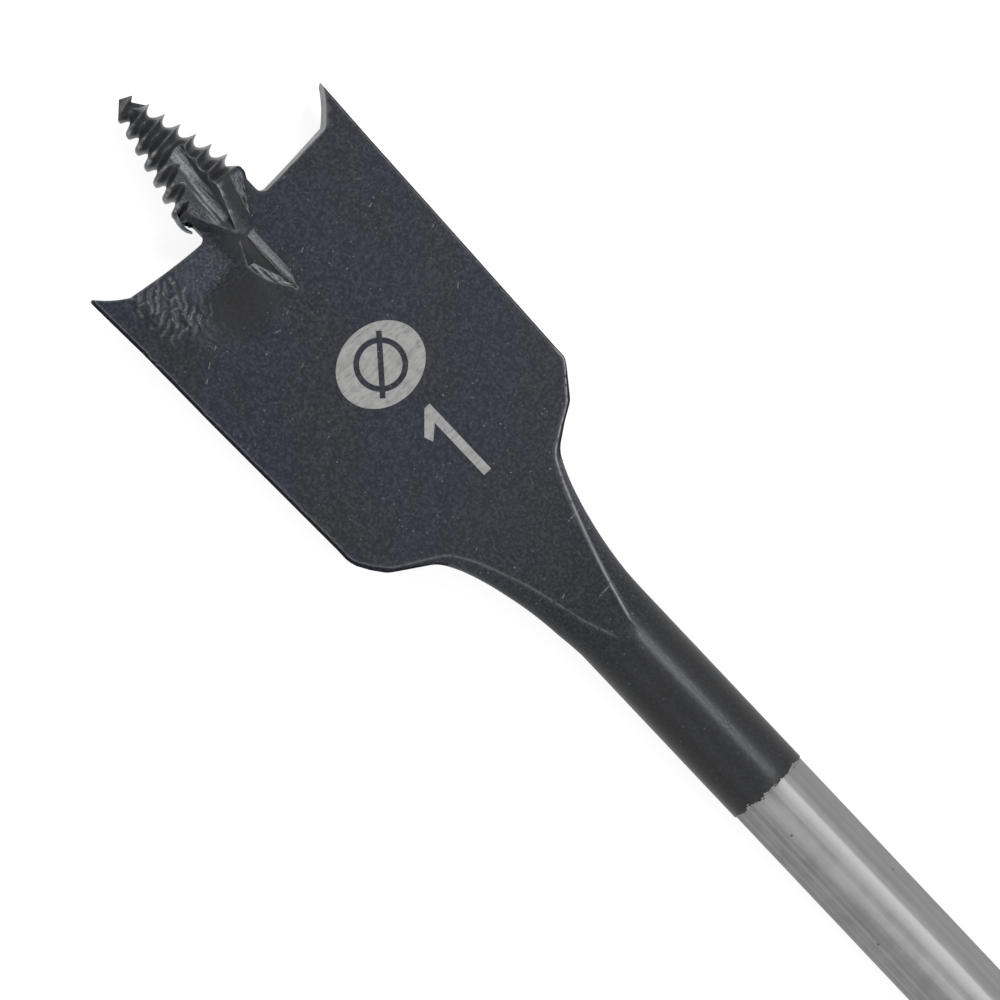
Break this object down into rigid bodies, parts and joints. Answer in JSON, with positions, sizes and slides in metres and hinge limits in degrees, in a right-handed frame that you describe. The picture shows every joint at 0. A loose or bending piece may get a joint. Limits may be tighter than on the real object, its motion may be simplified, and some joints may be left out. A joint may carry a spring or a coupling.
{
  "type": "spade drill bit",
  "caption": "Self-feeding spade wood-boring bit: flat contoured blade with outer spurs and ground cutting edges, threaded conical lead screw, round neck and hex shank.",
  "frame": {"origin": "centre of the flat face at the driven end of the hex shank, on the tool axis", "axes": "+X along the tool axis towards the point of the lead screw, +Y across the blade, +Z out of the marked blade face, which lies level as the bit rests on a narrow flat of its neck"},
  "size_m": [0.1524, 0.0254, 0.007],
  "materials": {
    "black_coat": "thin satin black coat over forged steel, worn to bare metal along ground edges",
    "bare_steel": "drawn bare steel with fine lengthwise lines, on the hex shank and the ground edges"
  },
  "bodies": {
    "root": {"spade_bit": "black_coat"}
  },
  "joints": []
}
